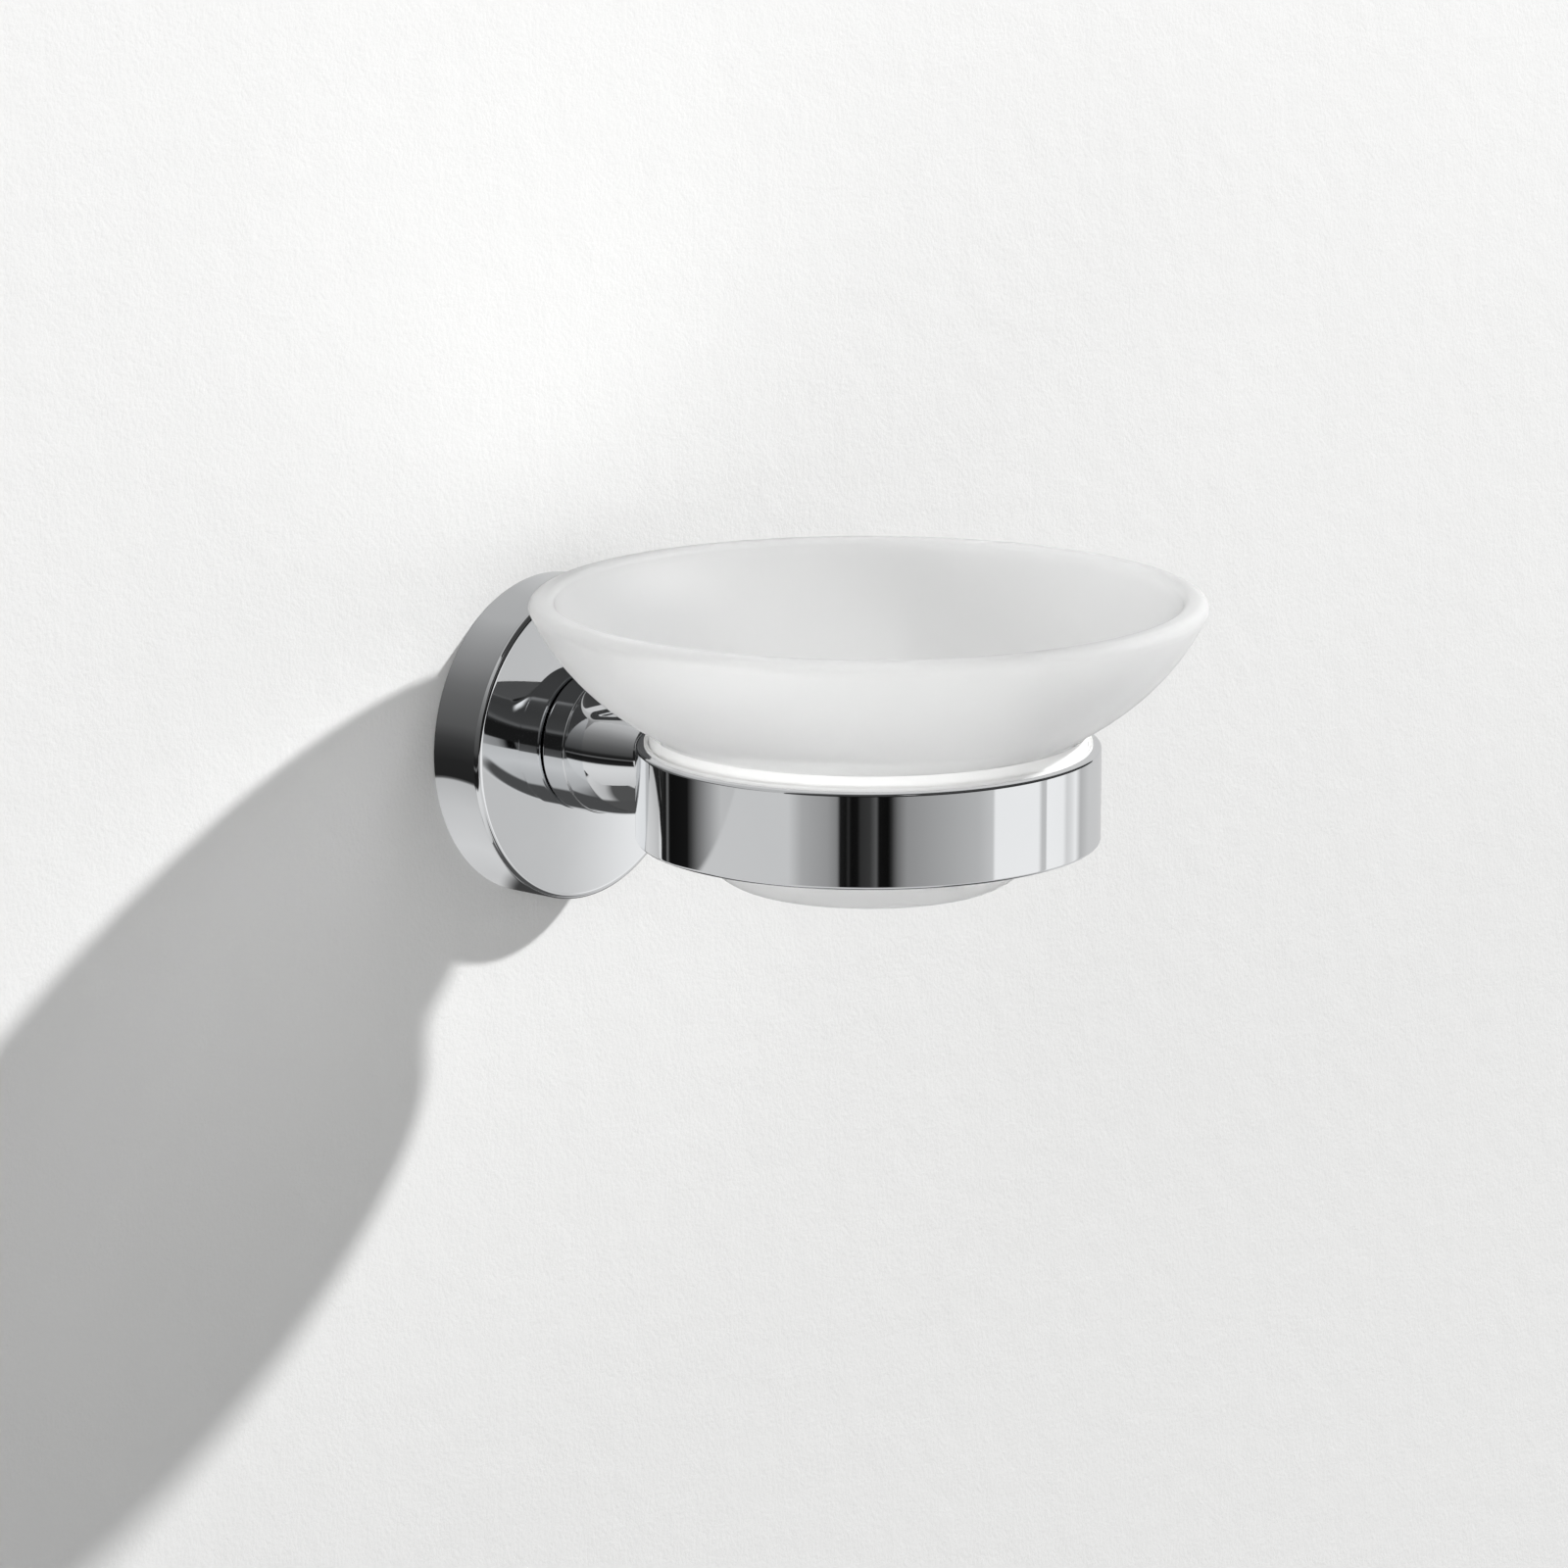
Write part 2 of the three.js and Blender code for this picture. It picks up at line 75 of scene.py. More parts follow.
flange_high = span("flange")[1]
hoop_low, hoop_high = span("ring_band")
glass_low, glass_high = span("glass_dish")
flange_radius = flange_high.x
flange_depth = -span("flange")[0].y
hoop_radius = hoop_high.x
hoop_centre = (hoop_low.y + hoop_high.y) / 2
hoop_top = hoop_high.z
rim_radius = glass_high.x
print(f"across: flange {2 * flange_radius:.1f}, hoop {2 * hoop_radius:.1f}, glass {2 * rim_radius:.1f} mm")

# %% [markdown]
# The camera comes early, because it decides what has to be seen. It stands left of the arm and a little
# above it, about a metre away with a long lens, so that the hoop's ellipse is flat and the wall has hardly
# any perspective. Its direction is given as a bearing to the right of straight out of the wall and a height
# over the level, in degrees. The lamps are placed in the same way later.

# %% Set up the camera
PICTURE_SIDE = 1600
FOCAL_PIXELS = 7000
SENSOR_WIDTH = 36
CAMERA_BEARING, CAMERA_HEIGHT = -49.735, 12.5
CAMERA_DISTANCE = 1120.63
CAMERA_TARGET = Vector((3.246, -50, -2.444))


def add_object(name, data):
    """A new object in the scene, made from a camera, a lamp or a mesh."""
    made = bpy.data.objects.new(name, data)
    bpy.context.scene.collection.objects.link(made)
    return made


def aim(thing, bearing, height, distance, target):
    """Stands a camera or a lamp at a distance from a target, in millimetres, and points it there."""
    turn, lift = math.radians(bearing), math.radians(height)
    toward = Vector((math.sin(turn) * math.cos(lift), -math.cos(turn) * math.cos(lift), math.sin(lift)))
    thing.location = (target + toward * distance) * MM
    thing.rotation_mode = "QUATERNION"
    thing.rotation_quaternion = toward.to_track_quat("Z", "Y")


camera_data = bpy.data.cameras.new("picture_camera")
camera_data.sensor_width = SENSOR_WIDTH
camera_data.lens = SENSOR_WIDTH * FOCAL_PIXELS / PICTURE_SIDE
camera = add_object("picture_camera", camera_data)
aim(camera, CAMERA_BEARING, CAMERA_HEIGHT, CAMERA_DISTANCE, CAMERA_TARGET)
bpy.context.scene.camera = camera
print(f"camera: {camera_data.lens:.1f} mm lens")

# %% [markdown]
# Four of the five pieces that show are turned: their shape is one outline spun round an axis. An outline is
# a list of points, each a distance from the axis and a place along it. Real edges are never sharp, and
# chrome draws each one as a thin line of light, so the outline's corners are rounded here, with one extra
# point beside each curve that keeps the flat next to it looking flat.

# %% Draw outlines
def arc(across, along, radius, start, end, steps=8):
    """Points on a circle, with its angles in degrees from the direction away from the axis."""
    angles = [math.radians(start + (end - start) * i / steps) for i in range(steps + 1)]
    return [(across + radius * math.cos(a), along + radius * math.sin(a)) for a in angles]


def bend(start, start_slope, end, end_slope, steps=24):
    """A smooth curve between two points that leaves and arrives at the given angles from the axis."""
    a, b = Vector(start), Vector(end)
    leaving = Vector((math.sin(start_slope), math.cos(start_slope)))
    arriving = Vector((math.sin(end_slope), math.cos(end_slope)))
    cross = leaving.x * arriving.y - leaving.y * arriving.x
    corner = a + leaving * (((b - a).x * arriving.y - (b - a).y * arriving.x) / cross)
    shares = [i / steps for i in range(steps + 1)]
    return [tuple(a * (1 - t) ** 2 + corner * 2 * t * (1 - t) + b * t ** 2) for t in shares]


LEAD = 0.4  # where the point beside a curve stands, in radii of the curve


def rounded(corners, steps=6):
    """An outline whose corners are (across, along, radius of the rounding)."""
    points = []
    for i, (across, along, radius) in enumerate(corners):
        here = Vector((across, along))
        if not radius:
            points.append((across, along))
            continue
        before = (Vector(corners[i - 1][:2]) - here).normalized()
        after = (Vector(corners[(i + 1) % len(corners)][:2]) - here).normalized()
        half = before.angle(after) / 2
        centre = here + (before + after).normalized() * (radius / math.sin(half))
        run = radius / math.tan(half)
        first, last = here + before * run, here + after * run
        points.append(tuple(first + before * radius * LEAD))
        spokes = [(first - centre).slerp(last - centre, step / steps) for step in range(steps + 1)]
        points += [tuple(centre + spoke * radius) for spoke in spokes]
        points.append(tuple(last + after * radius * LEAD))
    return points


print("a rounded corner has", len(rounded([(0, 0, 0), (9, 0, 1), (9, 9, 0)])) - 2, "points")

# %% [markdown]
# Blender can spin an outline with its Spin operation, as a lathe does. The ends meet, so the doubled points
# are merged afterwards. Shading is smooth except where two faces meet at a clear angle.

# %% Turn an outline into a piece
ROUND_STEPS = 240
CLEAR_ANGLE = math.radians(32)
MERGE_DISTANCE = 0.0005
UP, OUT = Vector((0, 0, 1)), Vector((0, -1, 0))


def spin(outline, centre, axis, closed=True, steps=ROUND_STEPS):
    """Spins an outline round an axis through a centre. An open outline ends on the axis."""
    shape = bmesh.new()
    across = Vector((1, 0, 0))
    chain = [shape.verts.new(Vector(centre) + across * r + axis * h) for r, h in outline]
    pairs = list(zip(chain, chain[1:] + chain[:1])) if closed else list(zip(chain, chain[1:]))
    edges = [shape.edges.new(pair) for pair in pairs]
    bmesh.ops.spin(shape, geom=chain + edges, cent=centre, axis=axis, angle=math.tau, steps=steps)
    bmesh.ops.remove_doubles(shape, verts=shape.verts, dist=MERGE_DISTANCE)
    return shape


def to_mesh(name, shape):
    """A shape in millimetres becomes a mesh in metres, with its faces turned outwards."""
    bmesh.ops.recalc_face_normals(shape, faces=shape.faces)
    bmesh.ops.scale(shape, vec=(MM, MM, MM), verts=shape.verts)
    mesh = bpy.data.meshes.new(name)
    shape.to_mesh(mesh)
    shape.free()
    mesh.shade_smooth()
    return mesh


def finish_mesh(name, shape, body):
    """A shape in millimetres becomes a smoothly shaded piece in metres that moves with a body."""
    mesh = to_mesh(name, shape)
    mesh.set_sharp_from_angle(angle=CLEAR_ANGLE)
    piece = add_object(name, mesh)
    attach(piece, body)
    return piece


print("pieces are turned in", ROUND_STEPS, "steps")

# %% [markdown]
# The holes in the chrome are drilled as on the real pieces: a cutter stands where the drill goes, and a
# Boolean modifier takes it away. The modifier is applied at once, so that the piece is one plain mesh.

# %% Drill a piece
DRILL_STEPS = 48


def drill(piece, outline, centre, axis):
    """Takes a hole, turned from an outline in millimetres, out of a piece."""
    mesh = to_mesh("cutter", spin(outline, centre, axis, closed=False, steps=DRILL_STEPS))
    cutter = add_object("cutter", mesh)
    cut = piece.modifiers.new("cut", "BOOLEAN")
    cut.operation, cut.solver, cut.object = "DIFFERENCE", "EXACT", cutter
    bpy.context.view_layer.update()
    evaluated = piece.evaluated_get(bpy.context.evaluated_depsgraph_get())
    uncut, piece.data = piece.data, bpy.data.meshes.new_from_object(evaluated)
    piece.modifiers.clear()
    piece.data.name = uncut.name
    piece.data.set_sharp_from_angle(angle=CLEAR_ANGLE)
    bpy.data.objects.remove(cutter)
    bpy.data.meshes.remove(mesh)
    bpy.data.meshes.remove(uncut)
    print("drilled", piece.name)


# %% [markdown]
# The flange is a deep pressed cup with its mouth on the wall. Its flat face is a mirror, so the rounding
# round it is small and even. A grub screw reaches in from below, through a hole with a broken edge.

# %% Turn the flange
FLANGE_WALL = 2
FLANGE_FACE = 2.2
ARM_SCREW_HOLE = 3.3
GRUB_HOLE = 2.3
GRUB_CONE = 1
GRUB_CONE_DEPTH = 0.4
GRUB_FROM_WALL = 4.4
DRILL_OVERRUN = 2

flange_inner = flange_radius - FLANGE_WALL
cup = spin(rounded([
    (flange_inner, 0, 0.3),
    (flange_radius, 0, 0.25),
    (flange_radius, flange_depth, 0.8),
    (ARM_SCREW_HOLE, flange_depth, 0.15),
    (ARM_SCREW_HOLE, flange_depth - FLANGE_FACE, 0.15),
    (flange_inner, flange_depth - FLANGE_FACE, 1.2),
]), (0, 0, 0), OUT)
flange = finish_mesh("chrome_flange", cup, "holder")
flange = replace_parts(flange, "flange")
grub_start, grub_edge = flange_inner - DRILL_OVERRUN, flange_radius - GRUB_CONE_DEPTH
grub_drill = [(0, grub_start), (GRUB_HOLE, grub_start), (GRUB_HOLE, grub_edge),
              (GRUB_HOLE + GRUB_CONE, grub_edge + GRUB_CONE), (0, grub_edge + GRUB_CONE)]
drill(flange, grub_drill, (0, -GRUB_FROM_WALL, 0), -UP)
print("flange:", len(flange.data.polygons), "faces")

# %% [markdown]
# The hoop is a flat band, bent round and welded, with softly rolled edges. A countersunk screw holds it to
# the arm from inside, where the liner covers it.

# %% Turn the hoop
HOOP_WALL = 1.8
HOOP_SCREW_HOLE = 2.3
HOOP_SCREW_HEAD = 3.9
HOOP_COUNTERSINK = 1.4

hoop_inner = hoop_radius - HOOP_WALL
band = spin(rounded([
    (hoop_radius, -hoop_top, 0.4),
    (hoop_radius, hoop_top, 0.4),
    (hoop_inner, hoop_top, 0.35),
    (hoop_inner, -hoop_top, 0.35),
]), (0, hoop_centre, 0), UP)
hoop = finish_mesh("chrome_hoop", band, "holder")
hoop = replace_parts(hoop, "ring_band")
hoop_drill = [(0, hoop_inner - DRILL_OVERRUN), (HOOP_SCREW_HEAD, hoop_inner - DRILL_OVERRUN),
              (HOOP_SCREW_HEAD, hoop_inner), (HOOP_SCREW_HOLE, hoop_inner + HOOP_COUNTERSINK),
              (HOOP_SCREW_HOLE, hoop_radius + DRILL_OVERRUN), (0, hoop_radius + DRILL_OVERRUN)]
drill(hoop, hoop_drill, (0, hoop_centre, 0), -OUT)
print("hoop:", len(hoop.data.polygons), "faces")

# %% [markdown]
# The dish is pressed glass, so its wall has one thickness and its curves run into each other. It is drawn
# from the middle of its foot, up the outside to the rim, and down the inside to the floor. The drum below
# the neck tapers, so that it slides into the liner, and the neck flares to rest on the liner's lip. The sizes
# that have to fit the hoop and the liner are worked out from them.

# %% Size the glass
GLASS_WALL = 4.2
FLOOR_THICKNESS = 5
FLOOR_RADIUS = 18
FOOT_RADIUS = 21
FOOT_LAND = 3.2
FOOT_RECESS = 0.8
FOOT_SOFT = 0.3
DRUM_TAPER = 3.2
NECK_FLARE = 1.7
INNER_FOOT_SHARE = 0.5
FOOT_SLOPE = math.radians(42)
FLARE_SLOPE = math.radians(62)
RIM_SLOPE = math.radians(25)
LIP_OUTER, LIP_INNER = 1.7, 1.2
SEAT_GAP = 0.3
LINER_WALL = 1.9
LINER_RISE = 2.6

drum_top = hoop_inner - LINER_WALL - 2 * SEAT_GAP
drum_bottom = drum_top - DRUM_TAPER
drum_slope = math.atan2(DRUM_TAPER, 2 * hoop_top)
neck = (drum_top + NECK_FLARE, hoop_top + LINER_RISE)
foot, rim = glass_low.z, glass_high.z


def seat_curve(clearance):
    """The glass's outside from the hoop's top edge to its neck, or a seat that runs beside it."""
    start = (drum_top + clearance, hoop_top - clearance)
    return bend(start, drum_slope, (neck[0] + clearance, neck[1] - clearance), FLARE_SLOPE, steps=10)


print(f"drum {2 * drum_top:.1f} mm across at the top and {2 * drum_bottom:.1f} mm at the bottom")

# %% [markdown]
# The outline is one list, put together from curves. Each starts where the one before it ends, at the same
# slope, so no crease shows. The bowl's lip is two arcs, a wide one outside and a tight one inside. A single
# sheet with a Solidify modifier would be quicker, but its lip and foot would come out square.

# %% Turn the glass
inner_neck = (neck[0] - GLASS_WALL * math.cos(FLARE_SLOPE), neck[1] + GLASS_WALL * math.sin(FLARE_SLOPE))
inner_top = (drum_top - GLASS_WALL, hoop_top)
inner_foot = (drum_bottom - GLASS_WALL, -hoop_top * INNER_FOOT_SHARE)
lip_out, lip_in = rim_radius - LIP_OUTER, rim_radius - GLASS_WALL + LIP_INNER
recess = FOOT_RADIUS - FOOT_LAND
glass_outline = (
    [(0, foot + FOOT_RECESS)]
    + arc(recess - (FOOT_RECESS - FOOT_SOFT), foot + FOOT_SOFT, FOOT_RECESS - FOOT_SOFT, 90, 0)
    + arc(recess + FOOT_SOFT, foot + FOOT_SOFT, FOOT_SOFT, 180, 270)[1:]
    + bend((FOOT_RADIUS, foot), math.pi / 2, (drum_bottom, -hoop_top), FOOT_SLOPE)
    + seat_curve(0)
    + bend(neck, FLARE_SLOPE, (rim_radius, rim - LIP_OUTER), RIM_SLOPE)[1:]
    + arc(lip_out, rim - LIP_OUTER, LIP_OUTER, 0, 90)[1:]
    + arc(lip_in, rim - LIP_INNER, LIP_INNER, 90, 180)
    + bend(inner_neck, FLARE_SLOPE, (rim_radius - GLASS_WALL, rim - LIP_INNER), RIM_SLOPE)[::-1][1:]
    + bend(inner_top, drum_slope, inner_neck, FLARE_SLOPE, steps=12)[::-1][1:]
    + bend((FLOOR_RADIUS, foot + FLOOR_THICKNESS), math.pi / 2, inner_foot, drum_slope, steps=16)[::-1]
    + [(0, foot + FLOOR_THICKNESS)]
)
glass = spin(glass_outline, (0, hoop_centre, 0), UP, closed=False)
glass = finish_mesh("frosted_dish", glass, "dish")
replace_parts(glass, "glass_dish")
print("glass:", len(glass.data.polygons), "faces")

# %% [markdown]
# The liner keeps glass from touching metal. It is a thin moulded sleeve whose lip lies on the hoop's top
# edge and leans outwards with the glass, so that a white line shows between the two.

# %% Turn the liner
LINER_INSET = 0.6
LIP_OVERHANG = 0.4

seat = seat_curve(SEAT_GAP)
liner_radius = hoop_inner - SEAT_GAP
sleeve = [
    (seat[0][0], LINER_INSET - hoop_top, 0.3),
    (liner_radius, LINER_INSET - hoop_top, 0.3),
    (liner_radius, hoop_top + SEAT_GAP, 0),
    (hoop_inner + LIP_OVERHANG, hoop_top + SEAT_GAP, 0.25),
    (hoop_inner + LIP_OVERHANG, neck[1] - SEAT_GAP, 0.35),
]
liner = spin(rounded(sleeve) + seat[::-1], (0, hoop_centre, 0), UP)
liner = finish_mesh("white_liner", liner, "holder")
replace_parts(liner, "liner")
print("liner:", len(liner.data.polygons), "faces")

# %% [markdown]
# The arm isn't a plain turned piece. It starts as one, a plain band and then a body that narrows like the
# nose of a bullet, but its top is scooped out behind the band and its nose is hollowed to fit the hoop. The
# body's curve and the scoop's floor follow from the sizes of the arm and the hoop.

# %% Size the arm
ARM_RADIUS = 11.8
ARM_REACH = 23
ARM_GAP = 0.3
BAND_LENGTH = 5
BAND_STEP = 0.25
NOSE_INSET = 0.7
SCOOP_RADIUS = 5
SCOOP_BELOW_HOOP = 1.1
RIDGE_SOFTNESS = 1.1
SCOOP_SIDE = 0.2  # the scoop is left out where the sine of the turn is below this
ARM_STEPS = 288

body_start, body_radius = BAND_LENGTH + BAND_STEP, ARM_RADIUS - BAND_STEP
body_run, body_drop = ARM_REACH - body_start, body_radius - hoop_top + NOSE_INSET
body_curve = (body_run ** 2 + body_drop ** 2) / (2 * body_drop)
scoop_floor = hoop_top - SCOOP_BELOW_HOOP
print(f"body curve radius {body_curve:.1f} mm, scoop floor {scoop_floor:.1f} mm over the axis")

# %% [markdown]
# The scoop could be cut with Booleans, which leave hard edges. The arm's skin is drawn as a grid instead:
# each ring of points takes the lower of the turned shape and the scoop, blended where they cross, so the
# ridge between them is soft and the chrome flows over it.

# %% Shape the arm
def turned_radius(reach):
    """The arm's radius at a distance from the flange's face."""
    if reach < body_start:
        return body_radius
    return body_radius - body_curve + math.sqrt(body_curve ** 2 - (reach - body_start) ** 2)


def scoop_height(reach):
    """The height of the scoop's floor over the arm's axis."""
    inward = BAND_LENGTH + SCOOP_RADIUS - reach
    if inward <= 0:
        return scoop_floor
    return scoop_floor + SCOOP_RADIUS - math.sqrt(max(SCOOP_RADIUS ** 2 - inward ** 2, 0))


def soft_lower(a, b, softness):
    """The lower of two values, with the change from one to the other rounded off."""
    overlap = max(softness - abs(a - b), 0)
    return min(a, b) - overlap ** 2 / (4 * softness)


def arm_point(reach, turn):
    """How far the arm's skin is from its axis, in the direction of an angle from the right."""
    radius = turned_radius(reach)
    if math.sin(turn) < SCOOP_SIDE:
        return radius
    return soft_lower(radius, scoop_height(reach) / math.sin(turn), RIDGE_SOFTNESS)


def nose_reach(across):
    """Where the nose meets the hoop, which curves away on both sides."""
    wrap = hoop_radius + ARM_GAP
    return -hoop_centre - flange_depth - math.sqrt(wrap ** 2 - across ** 2)


half_way = ARM_REACH / 2
print(f"half way out the arm's skin is {arm_point(half_way, math.pi / 2):.1f} mm over its axis")
print(f"and {arm_point(half_way, 0):.1f} mm beside it")

# %% [markdown]
# The rings are laid from the flange outwards. The band takes round ones, and the scoop's curve takes ones
# that dip on top. They stand closest together beside the band, where the scoop's wall is steep.

# %% Lay the band's and the scoop's rings
ROOT_RADIUS = 2
BAND_EDGE, STEP_EDGE, STEP_OVERLAP = 0.45, 0.2, 0.3
CORNER_RISE = 0.02
CURVE_RINGS, BODY_RINGS, FIRST_STEP = 20, 26, 0.3

turns = [math.tau * i / ARM_STEPS for i in range(ARM_STEPS)]
rings = []


def ring(reach_of, radius_of):
    """Adds one ring of points, whose reach and radius depend on the turn."""
    sizes = [(t, reach_of(t), radius_of(t)) for t in turns]
    rings.append([(r * math.cos(t), -flange_depth - reach, r * math.sin(t)) for t, reach, r in sizes])


def plain_ring(reach, radius):
    ring(lambda t: reach, lambda t: radius)


root = rounded([
    (ROOT_RADIUS, ARM_GAP, 0),
    (ARM_RADIUS, ARM_GAP, BAND_EDGE),
    (ARM_RADIUS, BAND_LENGTH, STEP_EDGE),
    (body_radius - STEP_OVERLAP, BAND_LENGTH, 0),
])
for radius, reach in root[:-1]:
    plain_ring(reach, radius)
plain_ring(BAND_LENGTH, body_radius + CORNER_RISE)
for step in range(CURVE_RINGS):
    reach = BAND_LENGTH + SCOOP_RADIUS * (1 - math.cos(math.pi / 2 * (step + FIRST_STEP) / CURVE_RINGS))
    ring(lambda t: reach, lambda t: arm_point(reach, t))
print("rings so far:", len(rings))

# %% [markdown]
# Towards the hoop the rings bend more and more to the hoop's curve. Three rings round the edge of the nose,
# and the last three run in over its hollow face. Then neighbouring rings are joined with faces.

# %% Lay the nose's rings and build the arm
NOSE_EDGE = 0.3
NOSE_ROUNDS = 6

curve_end = BAND_LENGTH + SCOOP_RADIUS


def nose_of(turn):
    """Where the skin meets the hoop, found by going back and forth between radius and reach."""
    reach = ARM_REACH
    for _ in range(NOSE_ROUNDS):
        reach = nose_reach(arm_point(reach, turn) * math.cos(turn))
    return reach


noses = {t: nose_of(t) for t in turns}
nose_radii = {t: arm_point(noses[t], t) for t in turns}
for step in range(BODY_RINGS + 1):
    reaches = {t: curve_end + (noses[t] - NOSE_EDGE - curve_end) * (step / BODY_RINGS) for t in turns}
    ring(reaches.get, lambda t: arm_point(reaches[t], t))
for angle in (30, 60, 90):
    lift, sink = math.sin(math.radians(angle)), 1 - math.cos(math.radians(angle))
    ring(lambda t: noses[t] - NOSE_EDGE * (1 - lift), lambda t: nose_radii[t] - NOSE_EDGE * sink)
for share in (0.9, 0.6, 0.3):
    ring(lambda t: nose_reach(nose_radii[t] * share * math.cos(t)), lambda t: nose_radii[t] * share)

shape = bmesh.new()
rows = [[shape.verts.new(point) for point in row] for row in rings]
for row, following in zip(rows, rows[1:]):
    for i in range(ARM_STEPS):
        shape.faces.new((row[i - 1], row[i], following[i], following[i - 1]))
shape.faces.new(rows[0])
shape.faces.new(rows[-1])
arm = finish_mesh("chrome_arm", shape, "holder")
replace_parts(arm, "arm")
print("arm:", len(rings), "rings,", len(arm.data.polygons), "faces")

# %% [markdown]
# Finishes are written as sums. A socket of the node tree is wrapped in a small class, and adding or
# multiplying wrapped sockets places the Math nodes, so that a finish reads like the recipe it is. Every
# other node comes from one method, which sets a node's own settings first and its sockets after them.

# %% Wrap a socket
class Blend:
    """A socket that can be used in sums, and the tree that it belongs to."""

    def __init__(self, tree, socket=None):
        self.tree, self.socket = tree, socket

    def node(self, kind, settings=None, sockets=None, output=0):
        """Places a node and gives back one of its outputs, by number or by name."""
        made = self.tree.nodes.new("ShaderNode" + kind)
        for name, value in (settings or {}).items():
            if name == "stops":
                ramp = made.color_ramp
                while len(ramp.elements) < len(value):
                    ramp.elements.new(1)
                for element, (place, grey) in zip(ramp.elements, value):
                    element.position, element.color = place, (grey, grey, grey, 1)
            else:
                setattr(made, name, value)
        for name, value in (sockets or {}).items():
            if isinstance(value, Blend):
                self.tree.links.new(value.socket, made.inputs[name])
            else:
                made.inputs[name].default_value = value
        return Blend(self.tree, made.outputs[output] if made.outputs else None)

    def math(self, operation, *values):
        return self.node("Math", {"operation": operation}, dict(enumerate(values)))

    def __add__(self, other):
        return self.math("ADD", self, other)

    def __sub__(self, other):
        return self.math("SUBTRACT", self, other)

    def __rsub__(self, other):
        return self.math("SUBTRACT", other, self)

    def __mul__(self, other):
        return self.math("MULTIPLY", self, other)

    __radd__, __rmul__ = __add__, __mul__


print("sockets can be added, subtracted and multiplied")

# %% [markdown]
# Every finish needs the same few nodes, so these have names of their own. The Mix node has one set of
# sockets for each kind of value, and the sets share their names, so its sockets go by number.

# %% Name the usual nodes
def new_finish(name):
    """An empty material, and its tree wrapped for sums."""
    material = bpy.data.materials.new(name)
    material.use_nodes = True
    material.node_tree.nodes.clear()
    return material, Blend(material.node_tree)


def close_finish(paint, surface):
    """Links a shader to the material's output."""
    paint.node("OutputMaterial", None, {"Surface": surface})


def on_piece(paint):
    """Places on the piece itself, in metres from its origin."""
    return paint.node("TexCoord", output="Object")


def parts(paint, vector):
    """The X, Y and Z of a vector."""
    split = paint.node("SeparateXYZ", None, {"Vector": vector})
    return [Blend(paint.tree, output) for output in split.socket.node.outputs]


def noise(paint, place, size, detail=2.0, roughness=0.5):
    """Cloudy values about 0.5 whose patches are roughly as big as a size in millimetres."""
    sockets = {"Vector": place, "Scale": 1 / (size * MM), "Detail": detail, "Roughness": roughness}
    return paint.node("TexNoise", None, sockets)


def drawn_out(paint, place, scale, rotation=(0, 0, 0)):
    """Places scaled along each axis. Patches get long where the scale is small."""
    return paint.node("Mapping", None, {"Vector": place, "Scale": scale, "Rotation": rotation})


def tint(paint, share, dark, light):
    """A colour between two colours."""
    return paint.node("Mix", {"data_type": "RGBA"}, {0: share, 6: (*dark, 1), 7: (*light, 1)}, output=2)


def bumps(paint, height, depth, strength=1.0):
    """A normal that follows a height, whose full range is a depth in millimetres."""
    return paint.node("Bump", None, {"Height": height, "Distance": depth * MM, "Strength": strength})


def skin(paint, **sockets):
    """The main shader, with its sockets named with underscores for spaces."""
    named = {name.replace("_", " "): value for name, value in sockets.items()}
    return paint.node("BsdfPrincipled", None, named)


print("a noise patch of 14 mm has a scale of", round(1 / (14 * MM), 1))

# %% [markdown]
# Polished chrome plate is nearly a perfect mirror, a little bluish. What keeps it from looking drawn by a
# computer is what it isn't: the polish leaves a faint cloudy haze and very fine wiping marks. Both change
# how sharp the reflections are, and the haze changes the colour by a touch.

# %% Mix the chrome
chrome, paint = new_finish("polished_chrome_plate")
place = on_piece(paint)
haze = noise(paint, place, 14, detail=3)
wipes = noise(paint, drawn_out(paint, place, (1, 6, 9), (0.4, 0.2, 0.9)), 1.6, detail=4)
close_finish(paint, skin(
    paint,
    Metallic=1.0,
    Base_Color=tint(paint, haze, (0.83, 0.845, 0.86), (0.88, 0.89, 0.9)),
    Roughness=0.012 + haze * 0.03 + wipes * 0.02,
))
print("chrome:", len(chrome.node_tree.nodes), "nodes")

# %% [markdown]
# Frosted glass is clear glass whose skin was etched with acid, inside and out. Light enters and leaves it in
# all directions, so it looks milky, a little darker where one looks through more of it, and only soft
# shapes show through. Two thirds of the shader let light through a rough skin, and the rest scatters it
# just under the skin, which gives the milk. The etching itself is a very fine grain.

# %% Mix the frosted glass
frosting, paint = new_finish("acid_frosted_glass")
place = on_piece(paint)
grain = noise(paint, place, 0.35, detail=3)
cloud = noise(paint, place, 9, detail=2)
close_finish(paint, skin(
    paint,
    Base_Color=tint(paint, cloud, (0.975, 0.98, 0.975), (0.99, 0.995, 0.99)),
    Roughness=0.42 + cloud * 0.1 + grain * 0.08,
    IOR=1.3,
    Specular_IOR_Level=0.3,
    Subsurface_Weight=1.0,
    Subsurface_Radius=(1.0, 1.0, 1.0),
    Subsurface_Scale=0.03,
    Transmission_Weight=0.68,
    Normal=bumps(paint, grain, 0.03, 0.4),
))
print("frosted glass:", len(frosting.node_tree.nodes), "nodes")

# %% [markdown]
# The liner is moulded from white plastic, with a smooth skin that is a touch uneven from the mould. Pure
# white would swallow its own shading, so the colour stays a little below it, and the gloss does the rest.

